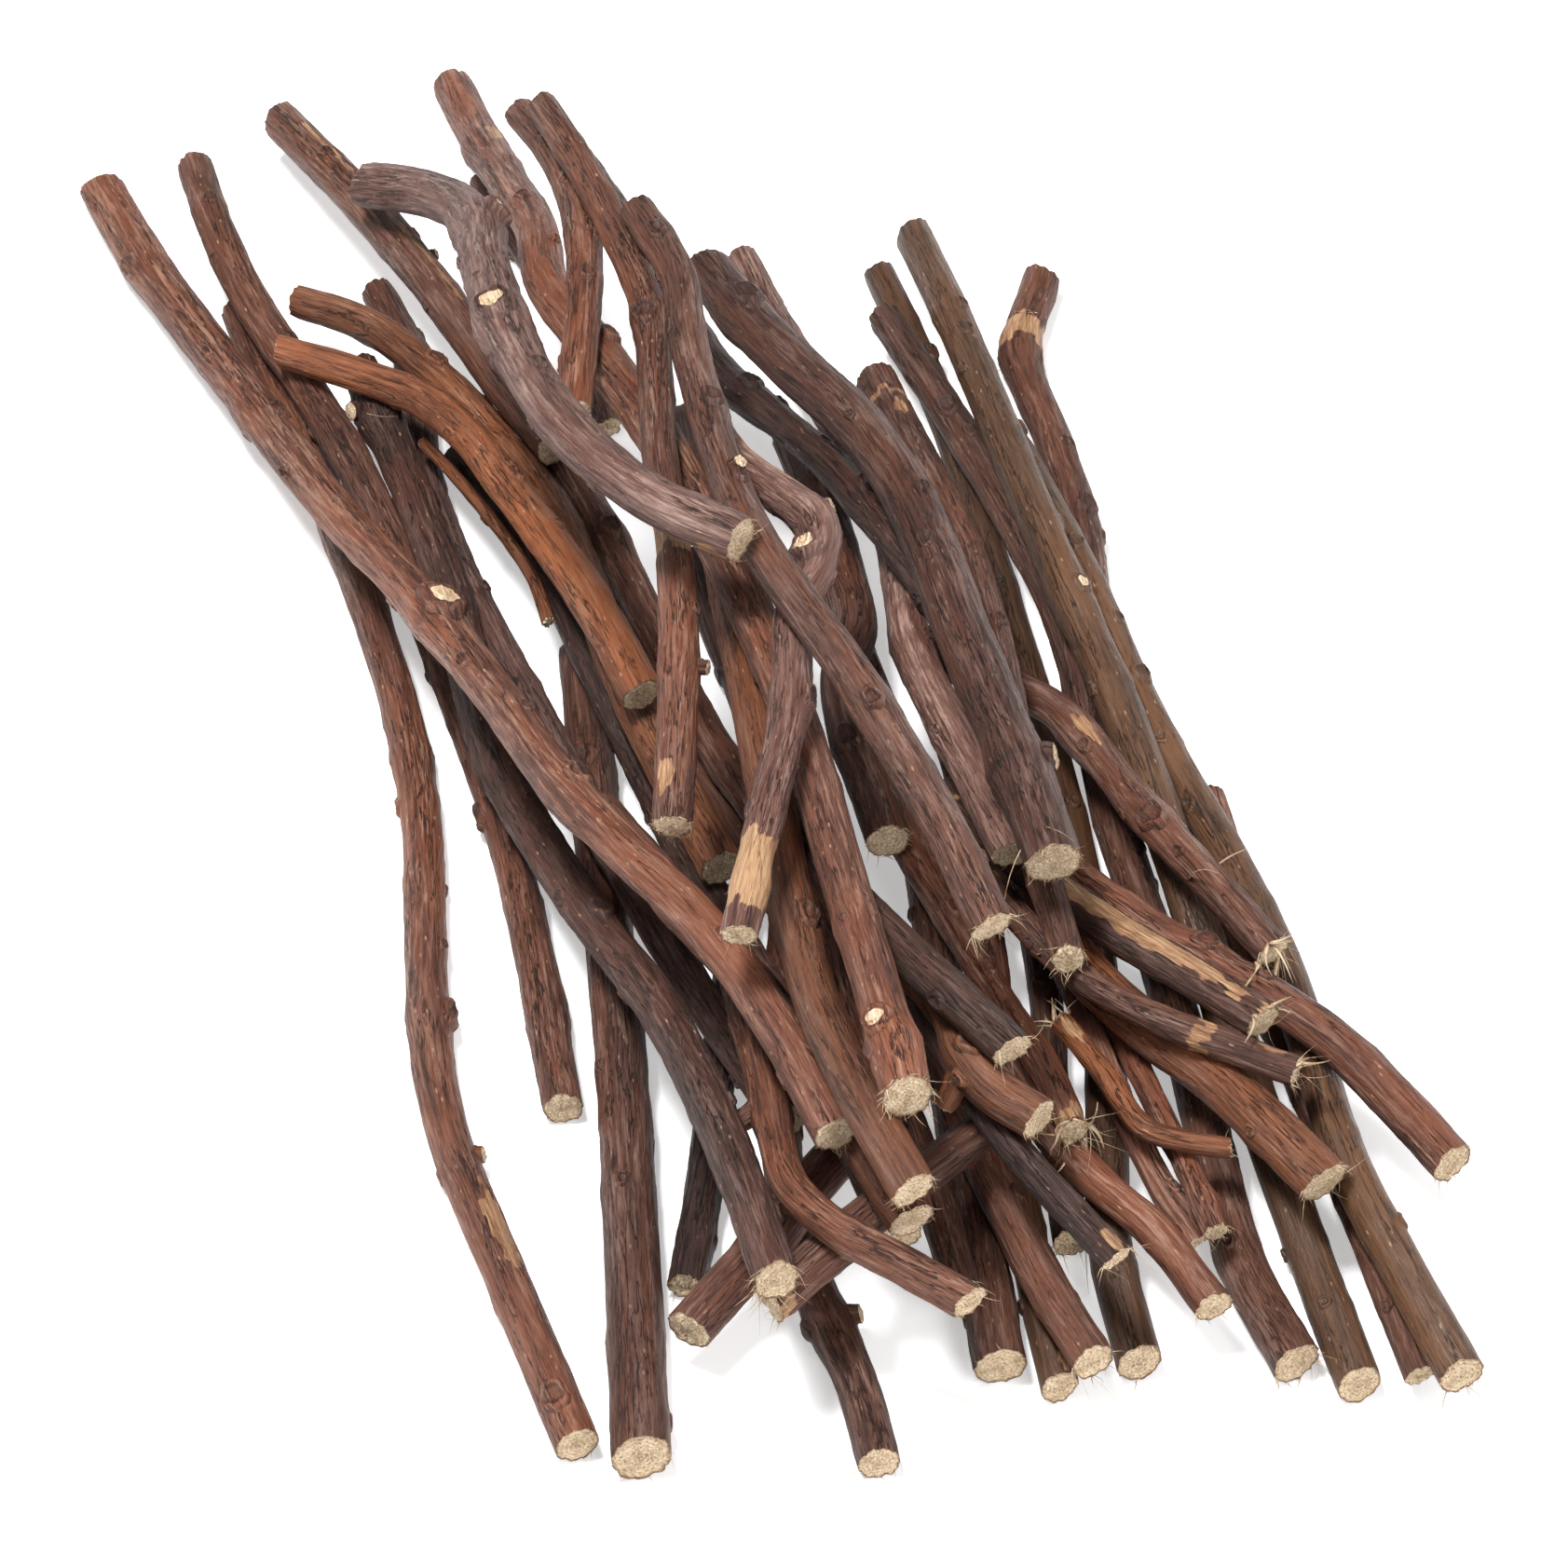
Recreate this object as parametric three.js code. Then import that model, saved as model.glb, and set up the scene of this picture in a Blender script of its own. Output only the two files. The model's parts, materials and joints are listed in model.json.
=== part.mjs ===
// A loose pile of cut twigs, lying on a table. Millimetres, +Z up.
// The twigs run along +Y, the origin is the middle of the pile's footprint, and the table is z = 0.
import * as THREE from 'three';

// Driving dimensions
const SIDES = 8; // facets round a twig
const RING_SPACING = 42; // ring distance along a straight twig
const RING_TURN = 0.42; // radians of turning that ask for one more ring
const FEWEST_RINGS = 4;
const CUT_CROWN = 0.3; // how far the middle of a sawn end stands proud
const TOUCH_GAP = 0.4; // clearance kept where one twig rests on another
const ROLLS = [-5, -2.5, 0, 2.5, 5]; // how far sideways either end of a twig may roll to lie lower
const ROLL_COST = 0.2; // lowering that makes a millimetre of rolling worthwhile
const SHAKEN_DOWN = 40; // the first twigs, which roll; the later ones lie just where they were dropped
const ON_AXIS = 1e-9; // a vertex closer to a lathe's axis than this is on it
const SAMPLE_STEP = 2; // distance between the places where two twigs are compared
const STIFFNESS_RADIUS = 320; // tightest radius that a twig droops or arches to, seen from the side
const SETTLED = 0.002; // movement below which a twig counts as resting
const PILE_TURN = THREE.MathUtils.degToRad(-19); // turns the plan below so that the twigs run along +Y

const BARKS = {
  red_brown: { color: 0x6b4438, roughness: 0.62 },
  orange_brown: { color: 0x8a5233, roughness: 0.58 },
  brown: { color: 0x5b4235, roughness: 0.66 },
  lilac_grey: { color: 0x83706c, roughness: 0.7 },
  olive: { color: 0x5d4a38, roughness: 0.55 },
  dark: { color: 0x33292a, roughness: 0.6 },
};

// The twigs in the order they were dropped, lowest first. Each has its bark, its radius at the far
// and the near end, and its route in plan from the far end to the near end. Heights aren't stated:
// every twig comes to rest on the table and on the twigs before it.
const TWIGS = [
  ['red_brown', 4.3, 5.8, [-42, 34], [-37, -21], [-32, -71], [-28, -137], [-26, -176]],
  ['red_brown', 4.0, 4.2, [-118, 137], [-98, 85], [-87, 54], [-72, -4], [-68, -45], [-63, -89],
    [-45, -140], [-33, -172]],
  ['brown', 3.7, 4.0, [-135, 178], [-123, 139], [-96, 85], [-79, 45], [-62, -7], [-53, -45],
    [-45, -90]],
  ['dark', 3.4, 3.7, [-18, 62], [-12, 34], [-4, 5], [-8, -41], [-11, -65], [-15, -110], [-18, -134]],
  ['brown', 3.8, 4.1, [0, -30], [-2, -60], [-2, -95], [4, -132], [13, -156], [18, -176]],
  ['red_brown', 4.2, 4.6, [12, -107], [5, -116], [-7, -134], [-20, -150]],
  ['brown', 4.1, 4.9, [8, 60], [16, 28], [26, -7], [30, -40], [34, -89], [38, -129], [41, -154]],
  ['olive', 3.5, 3.8, [42, -65], [44, -90], [47, -125], [52, -158]],
  ['brown', 3.1, 3.4, [48, -25], [52, -60], [53, -95], [55, -123]],
  ['brown', 3.6, 4.1, [26, -63], [35, -101], [44, -127], [53, -148], [58, -158]],
  ['olive', 3.4, 4.4, [21, 150], [34, 107], [44, 60], [53, 14], [60, -30], [63, -70], [63, -133],
    [67, -153]],
  ['brown', 3.7, 4.6, [17, 128], [38, 79], [56, 30], [63, -13], [75, -71], [82, -117], [88, -142],
    [94, -153]],
  ['red_brown', 3.2, 3.7, [28, 40], [33, 15], [37, -8], [40, -45], [43, -80], [50, -101],
    [61, -119], [73, -132], [81, -146]],
  ['red_brown', 2.6, 2.8, [87, -5], [97, -53], [110, -101], [117, -136], [119, -149]],
  ['brown', 4.0, 2.9, [52, 148], [48, 128], [60, 78], [66, 34], [80, -10], [94, -54], [110, -107],
    [124, -159]],
  ['olive', 3.3, 4.3, [33, 148], [48, 91], [60, 52], [72, 8], [94, -58], [104, -115], [121, -164]],
  ['olive', 4.2, 4.4, [26, 153], [53, 50], [67, 5], [82, -54], [95, -107], [108, -158]],
  ['lilac_grey', 3.6, 3.6, [-81, 129], [-76, 87], [-62, 40], [-47, 0], [-25, -50], [1, -100]],
  ['dark', 4.2, 3.9, [-68, 87], [-55, 63], [-26, -12], [-8, -60], [11, -105], [22, -134]],
  ['brown', 3.4, 3.6, [-93, 136], [-82, 112], [-65, 88], [-46, 54], [-26, 3], [2, -59], [18, -95],
    [29, -142]],
  ['red_brown', 3.8, 4.1, [45, -107], [37, -116], [17, -136], [-2, -156]],
  ['dark', 4.0, 4.4, [-93, 112], [-80, 73], [-68, 38], [-59, 0], [-41, -42], [-21, -84], [-8, -119],
    [4, -158]],
  ['orange_brown', 1.2, 1.3, [-81, 87], [-66, 67], [-50, 43], [-43, 30]],
  ['dark', 3.0, 3.2, [18, -66], [29, -95], [43, -125], [62, -150]],
  ['red_brown', 3.0, 3.1, [20, -20], [40, -72], [48, -92], [53, -110]],
  ['red_brown', 2.5, 2.7, [50, -36], [60, -83], [68, -113], [74, -128]],
  ['red_brown', 2.4, 2.5, [56, -45], [65, -86], [70, -104], [77, -130]],
  ['orange_brown', 2.3, 2.0, [54, -79], [62, -94], [70, -109], [85, -113]],
  ['orange_brown', 4.4, 5.2, [37, -5], [51, -50], [66, -77], [84, -95], [105, -123]],
  ['brown', 2.8, 3.0, [40, -49], [56, -75], [72, -88], [98, -101]],
  ['brown', 3.8, 3.6, [31, -27], [54, -57], [71, -75], [87, -91]],
  ['red_brown', 3.5, 4.4, [44, -12], [50, -42], [70, -62], [99, -87], [122, -118]],
  ['red_brown', 3.6, 3.6, [33, 26], [43, 15], [56, 2], [68, -29], [90, -71]],
  ['red_brown', 4.4, 3.3, [20, 109], [27, 81], [39, 37], [44, -1], [50, -53], [55, -78]],
  ['red_brown', 3.8, 3.5, [-71, 118], [-42, 55], [-18, -8], [-1, -45], [15, -104]],
  ['orange_brown', 3.7, 4.4, [-102, 127], [-85, 116], [-50, 66], [-29, 1], [-12, -45]],
  ['orange_brown', 3.3, 4.5, [-107, 108], [-87, 98], [-70, 86], [-57, 64], [-34, 20], [-23, -5]],
  ['red_brown', 4.5, 4.2, [-107, 193], [-78, 136], [-59, 92], [-50, 72]],
  ['red_brown', 3.2, 3.6, [-13, -66], [-6, -108], [1, -139], [17, -152], [32, -162]],
  ['brown', 4.2, 4.6, [-41, -38], [-18, -78], [-2, -102], [11, -128], [19, -145]],
  ['red_brown', 4.8, 4.2, [-151, 176], [-136, 144], [-121, 116], [-107, 89], [-88, 50], [-71, 17],
    [-53, -20], [-40, -47], [-24, -69], [-9, -90], [10, -131]],
  ['orange_brown', 3.4, 4.3, [5, -55], [19, -80], [28, -92], [33, -102], [36, -114], [48, -125]],
  ['brown', 3.7, 4.0, [-4, -30], [8, -66], [23, -90], [43, -115]],
  ['red_brown', 4.4, 4.5, [2, 90], [8, 68], [12, 50], [15, 25], [12, 10], [13, -2], [17, -19],
    [21, -36]],
  ['lilac_grey', 3.7, 4.4, [-9, 154], [-1, 129], [8, 104], [18, 66], [24, 38], [25, 15], [27, -1],
    [36, -30], [45, -57]],
  ['dark', 3.0, 3.7, [-45, 188], [-30, 147], [-19, 108], [-10, 84], [4, 64], [15, 46], [25, 26],
    [34, 8], [41, -4]],
  ['red_brown', 5.3, 5.6, [-16, 112], [-2, 83], [8, 68], [17, 53], [26, 32], [37, -9], [47, -46],
    [52, -68]],
  ['lilac_grey', 2.6, 2.7, [-67, 181], [-60, 164], [-45, 132], [-37, 102]],
  ['orange_brown', 4.0, 4.5, [-20, 67], [-12, 18], [-2, -55], [8, -110], [24, -150]],
  ['red_brown', 4.4, 4.6, [-74, 205], [-61, 158], [-53, 129], [-49, 100], [-27, 47], [0, -31],
    [13, -86], [23, -135]],
  ['red_brown', 3.5, 3.6, [-56, 148], [-46, 124], [-41, 95], [-41, 72], [-42, 48]],
  ['lilac_grey', 3.8, 3.6, [-14, 40], [-6, 23], [4, 12], [8, 3], [7, -6], [3, -15], [2, -28],
    [1, -48], [-6, -87], [-8, -99]],
  ['red_brown', 3.3, 3.8, [-51, 136], [-39, 108], [-27, 70], [-25, 34], [-21, -3], [-20, -26],
    [-21, -63]],
  ['red_brown', 3.5, 4.4, [-30, 96], [-22, 79], [-18, 50], [-6, -5], [15, -47], [33, -85], [39, -100]],
  ['lilac_grey', 5.0, 4.9, [-90, 149], [-75, 135], [-65, 114], [-60, 79], [-51, 41], [-39, 14],
    [-22, -6], [-8, -15]],
];

// A twig's ring centres in plan, as evenly spaced points of a smooth curve through its route.
function ringCentres(route) {
  const points = route.map(([x, y]) => new THREE.Vector3(x, y, 0));
  const curve = new THREE.CatmullRomCurve3(points, false, 'centripetal');
  let turning = 0;
  for (let i = 1; i < points.length - 1; i++) {
    const arriving = points[i].clone().sub(points[i - 1]);
    const leaving = points[i + 1].clone().sub(points[i]);
    turning += arriving.angleTo(leaving);
  }
  const steps = FEWEST_RINGS - 1 + Math.round(curve.getLength() / RING_SPACING + turning / RING_TURN);
  return curve.getSpacedPoints(steps);
}

// Places close together along a twig: the stretch each is in, how far along it, and the radius there.
function samplePlaces(centres, radii) {
  const places = [];
  for (let ring = 0; ring < centres.length - 1; ring++) {
    const span = Math.hypot(centres[ring + 1].x - centres[ring].x, centres[ring + 1].y - centres[ring].y);
    const count = Math.ceil(span / SAMPLE_STEP);
    for (let i = 0; i <= count; i++) {
      const along = i / count;
      const point = centres[ring].clone().lerp(centres[ring + 1], along);
      const radius = THREE.MathUtils.lerp(radii[ring], radii[ring + 1], along);
      places.push({ ring, along, point, radius });
    }
  }
  return places;
}

// The lowest that the twig's middle can be at a place, over the table and the twigs under it.
function lowestHeight(place, under) {
  let lowest = place.radius;
  for (const other of under) {
    const apart = Math.hypot(place.point.x - other.point.x, place.point.y - other.point.y);
    const reach = place.radius + other.radius + TOUCH_GAP;
    if (apart < reach) {
      lowest = Math.max(lowest, other.point.z + Math.sqrt(reach * reach - apart * apart));
    }
  }
  return lowest;
}

// Lowers a stiff twig onto what is under it. It droops on both sides of each touching place no
// tighter than its stiffness lets it, and it sags between two of them no tighter than that.
function restingHeights(centres, places, lows) {
  const spacing = centres[0].distanceTo(centres[1]);
  const chordSag = (spacing * spacing) / (8 * STIFFNESS_RADIUS);
  const heights = centres.map((_, ring) => {
    const reached = places.map((place, i) => {
      const away = (place.ring + place.along - ring) * spacing;
      return lows[i] + chordSag - (away * away) / (2 * STIFFNESS_RADIUS);
    });
    return Math.max(...reached);
  });
  const deepestSag = (spacing * spacing) / (2 * STIFFNESS_RADIUS);
  let moved = SETTLED;
  while (moved >= SETTLED) {
    moved = 0;
    for (let ring = 1; ring < heights.length - 1; ring++) {
      const excess = (heights[ring - 1] + heights[ring + 1]) / 2 - deepestSag - heights[ring];
      if (excess > 0) heights[ring] += excess;
      moved = Math.max(moved, excess);
    }
  }
  return heights;
}

// A straight lathe-turned twig of unit ring spacing, then bent so that its rings sit on the centres.
function twigGeometry(centres, radii) {
  const last = centres.length - 1;
  const profile = radii.map((radius, ring) => new THREE.Vector2(radius, ring));
  profile.unshift(new THREE.Vector2(0, 0));
  profile.push(new THREE.Vector2(0, last));
  const geometry = new THREE.LatheGeometry(profile, SIDES);
  const frames = centres.map((centre, ring) => {
    const before = centres[Math.max(ring - 1, 0)];
    const after = centres[Math.min(ring + 1, last)];
    const ahead = after.clone().sub(before).normalize();
    const side = ahead.clone().cross(new THREE.Vector3(0, 0, 1)).normalize();
    const up = side.clone().cross(ahead);
    return { centre, ahead, side, up };
  });
  const vertices = geometry.getAttribute('position');
  for (let i = 0; i < vertices.count; i++) {
    const offset = new THREE.Vector3().fromBufferAttribute(vertices, i);
    const ring = Math.round(offset.y);
    const { centre, ahead, side, up } = frames[ring];
    const point = centre.clone().addScaledVector(side, offset.x).addScaledVector(up, offset.z);
    if (Math.hypot(offset.x, offset.z) < ON_AXIS) {
      point.addScaledVector(ahead, ring === 0 ? -CUT_CROWN : CUT_CROWN);
    }
    vertices.setXYZ(i, point.x, point.y, point.z);
  }
  geometry.deleteAttribute('uv');
  geometry.computeVertexNormals();
  return geometry;
}

const materials = {};
for (const [name, { color, roughness }] of Object.entries(BARKS)) {
  materials[name] = new THREE.MeshStandardMaterial({ name, color, roughness, metalness: 0 });
}

// Finds where a twig comes to rest: along the route it was dropped, or for a shaken one with either
// end rolled sideways where that lets it lie lower.
function rest(route, farRadius, nearRadius, under, shaken) {
  let best = { score: Infinity };
  const rolls = shaken ? ROLLS : [0];
  for (const farRoll of rolls) {
    for (const nearRoll of rolls) {
      const rolled = route.map(([x, y], i) => {
        return [x + THREE.MathUtils.lerp(farRoll, nearRoll, i / (route.length - 1)), y];
      });
      const centres = ringCentres(rolled);
      const last = centres.length - 1;
      const radii = centres.map((_, ring) => THREE.MathUtils.lerp(farRadius, nearRadius, ring / last));
      const places = samplePlaces(centres, radii);
      const lows = places.map((place) => lowestHeight(place, under));
      const heights = restingHeights(centres, places, lows);
      const meanHeight = heights.reduce((sum, height) => sum + height, 0) / heights.length;
      const score = meanHeight + ROLL_COST * (Math.abs(farRoll) + Math.abs(nearRoll)) / 2;
      if (score < best.score) best = { score, centres, radii, heights };
    }
  }
  best.centres.forEach((centre, ring) => {
    centre.z = best.heights[ring];
  });
  return best;
}

const twigs = new THREE.Group();
const under = [];
TWIGS.forEach(([bark, farRadius, nearRadius, ...route], i) => {
  const { centres, radii } = rest(route, farRadius, nearRadius, under, i < SHAKEN_DOWN);
  under.push(...samplePlaces(centres, radii));
  const mesh = new THREE.Mesh(twigGeometry(centres, radii), materials[bark]);
  mesh.name = `twig_${String(i + 1).padStart(2, '0')}`;
  twigs.add(mesh);
});
twigs.rotation.z = PILE_TURN;

// Moves the turned pile so that its footprint is centred on the origin and its underside is z = 0.
const pile = new THREE.Group();
pile.add(twigs);
pile.updateMatrixWorld(true);
const box = new THREE.Box3().setFromObject(twigs, true);
const middle = box.getCenter(new THREE.Vector3());
twigs.position.set(-middle.x, -middle.y, -box.min.z);

export default pile;
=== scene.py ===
import json
import math

import bmesh
import bpy
import numpy as np
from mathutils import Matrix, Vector


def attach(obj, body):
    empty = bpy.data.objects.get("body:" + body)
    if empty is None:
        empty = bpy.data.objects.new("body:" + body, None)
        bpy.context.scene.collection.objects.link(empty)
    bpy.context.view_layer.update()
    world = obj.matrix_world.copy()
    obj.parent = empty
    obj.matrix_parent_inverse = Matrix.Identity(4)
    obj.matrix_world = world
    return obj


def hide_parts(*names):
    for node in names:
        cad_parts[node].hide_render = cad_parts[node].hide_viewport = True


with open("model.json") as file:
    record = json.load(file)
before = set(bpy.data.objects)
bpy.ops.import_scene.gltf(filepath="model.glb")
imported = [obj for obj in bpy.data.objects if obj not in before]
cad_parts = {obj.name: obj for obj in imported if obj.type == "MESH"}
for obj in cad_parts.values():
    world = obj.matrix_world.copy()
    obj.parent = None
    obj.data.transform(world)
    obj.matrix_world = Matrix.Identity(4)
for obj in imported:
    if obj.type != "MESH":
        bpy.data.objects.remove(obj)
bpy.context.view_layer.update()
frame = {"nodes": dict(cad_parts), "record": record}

MM = 0.001

# The camera, at the angle of the photograph
AIM = Vector((-4, -12, 0)) * MM  # the spot on the table that it looks at
LOOK_ALONG = math.radians(-19)  # turned from +Y, clockwise seen from above being negative
LOOK_DOWN = math.radians(47)
CAMERA_DISTANCE = 1.35
LENS = 152

# The mesh of a twig
AROUND = 52  # vertices round a twig
STEP = 2.0 * MM  # distance between rings of vertices
CURVE_STEPS = 24  # pieces that the curve between two packed rings is worked out in
END_RINGS = (1, 0.93, 0.84, 0.7, 0.55, 0.4, 0.25, 0.12)  # rings across a sawn end, as shares
KNOT_RINGS = (2.1, 1.75, 1.45, 1.2, 1.0, 0.85, 0.7, 0.5, 0.25)  # rings of a knot, as shares
STUB_AROUND = 20  # vertices round a stub
STUB_RINGS = 9
STRAND_SIDES = 4  # vertices round a torn fibre
STRAND_RINGS = 7
PACKED_SIDES = 8  # facets round a packed twig
GRAIN_STRETCH = 9.0  # how much longer than wide the bark's markings are

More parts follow.
